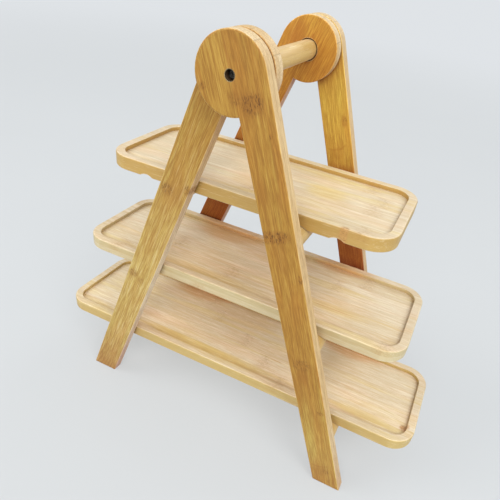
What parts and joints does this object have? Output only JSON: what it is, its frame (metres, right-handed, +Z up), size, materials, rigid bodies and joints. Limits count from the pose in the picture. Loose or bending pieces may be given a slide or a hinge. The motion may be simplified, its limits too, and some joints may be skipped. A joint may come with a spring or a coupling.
{
  "type": "tiered shelf riser",
  "caption": "Folding A-frame stand with round rails that carry long loose trays, wider towards the floor, under a round carrying handle.",
  "frame": {"origin": "on the floor, midway between the feet, under the middle of the handle", "axes": "+X along the trays, +Y from the front side frame to the back one, +Z up"},
  "size_m": [0.4, 0.164, 0.376],
  "materials": {
    "leg_bamboo": "clear satin lacquer, grain along the leg",
    "bar_bamboo": "clear satin lacquer, grain along the bar",
    "tray_bamboo": "clear satin lacquer, grain along the tray",
    "screw_steel": "plain",
    "insert_brass": "plain",
    "washer_plastic": "matte"
  },
  "bodies": {
    "outer_frame": {"outer_leg_front": "leg_bamboo", "outer_leg_back": "leg_bamboo", "outer_rail_bottom": "bar_bamboo", "outer_rail_middle": "bar_bamboo", "outer_rail_top": "bar_bamboo"},
    "inner_frame": {"inner_leg_front": "leg_bamboo", "inner_leg_back": "leg_bamboo", "inner_rail_bottom": "bar_bamboo", "inner_rail_middle": "bar_bamboo", "inner_rail_top": "bar_bamboo", "handle_bar": "bar_bamboo", "pivot_screw_front": "screw_steel", "pivot_screw_back": "screw_steel", "spacer_washer_front": "washer_plastic", "spacer_washer_back": "washer_plastic", "threaded_insert_front": "insert_brass", "threaded_insert_back": "insert_brass"},
    "bottom_tray": {"tray_bottom": "tray_bamboo"},
    "middle_tray": {"tray_middle": "tray_bamboo"},
    "top_tray": {"tray_top": "tray_bamboo"}
  },
  "joints": [
    {"name": "frame_fold", "type": "hinge", "parent": "outer_frame", "child": "inner_frame", "pos_m": [0, 0, 0.35], "axis": [0, -1, 0], "range_deg": [0, 41]},
    {"name": "bottom_tray_lift", "type": "slide", "parent": "outer_frame", "child": "bottom_tray", "axis": [0, 0, 1], "range_m": [0, 0.04]},
    {"name": "middle_tray_lift", "type": "slide", "parent": "outer_frame", "child": "middle_tray", "axis": [0, 0, 1], "range_m": [0, 0.04]},
    {"name": "top_tray_lift", "type": "slide", "parent": "outer_frame", "child": "top_tray", "axis": [0, 0, 1], "range_m": [0, 0.07]}
  ]
}
